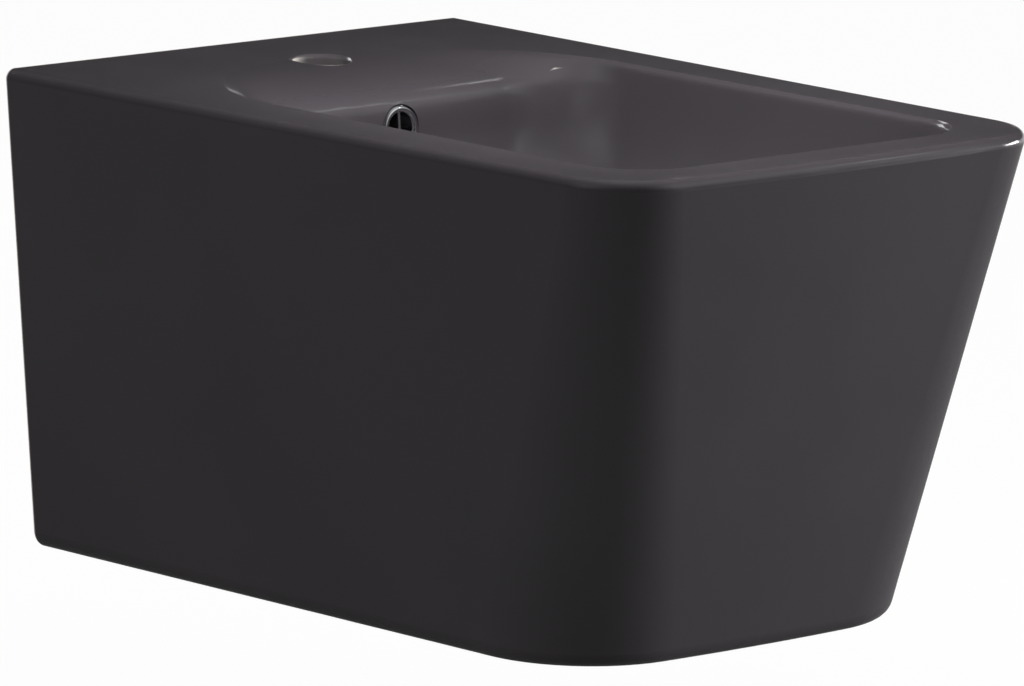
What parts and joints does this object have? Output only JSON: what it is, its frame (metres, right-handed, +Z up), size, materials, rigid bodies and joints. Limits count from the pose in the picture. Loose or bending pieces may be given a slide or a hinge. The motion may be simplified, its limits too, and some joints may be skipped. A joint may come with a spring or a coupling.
{
  "type": "wall-hung bidet",
  "caption": "Wall-hung bidet in charcoal glazed ceramic with a raked skirt, deep bowl, tap hole, overflow ring, push-open waste and bottle trap inside.",
  "frame": {"origin": "midway between the two wall fixings, on the wall face", "axes": "+Z up, +Y into the wall, -Y towards the user, X across the bidet"},
  "size_m": [0.359, 0.5385, 0.294],
  "materials": {
    "glaze": "satin gloss",
    "chrome": "polished",
    "brass": "turned",
    "steel": "zinc plated",
    "rubber": "matt",
    "nylon": "natural",
    "trap_plastic": "moulded"
  },
  "bodies": {
    "basin": {"ceramic_body": "glaze", "overflow_ring": "chrome", "waste_body": "chrome", "waste_upper_seal": "rubber", "waste_lower_seal": "rubber", "waste_slip_washer": "nylon", "waste_back_nut": "brass", "cartridge_housing": "nylon", "cartridge_lid": "nylon", "plug_spring": "steel", "tail_gasket": "rubber", "dip_tube": "trap_plastic", "union_nut": "trap_plastic", "trap_inlet_nut": "trap_plastic", "trap_inlet_seal": "rubber", "trap_head": "trap_plastic", "trap_outlet_nut": "trap_plastic", "trap_outlet_seal": "rubber", "fixing_pads": "rubber", "fixing_sleeves": "nylon", "fixing_washers": "steel", "fixing_nuts": "steel"},
    "plug": {"plug_cap": "chrome", "plug_seal": "rubber", "plug_stem": "brass"},
    "rotor": {"index_rotor": "nylon"},
    "trap_bottle": {"trap_cup": "trap_plastic", "trap_cup_seal": "rubber"}
  },
  "joints": [
    {"name": "plug_press", "type": "slide", "parent": "basin", "child": "plug", "axis": [0, 0, 1], "range_m": [0, 0.008], "deforming": ["plug_spring"]},
    {"name": "index_turn", "type": "hinge", "parent": "plug", "child": "rotor", "pos_m": [0, -0.272, -0.0568], "axis": [0, 0, 1], "range_deg": [0, 45]},
    {"name": "trap_cup_drop", "type": "slide", "parent": "basin", "child": "trap_bottle", "axis": [0, 0, 1], "range_m": [-0.055, 0]}
  ],
  "couplings": [
    {"joint": "index_turn", "follows": "plug_press", "rad_per_m": 98.175}
  ]
}
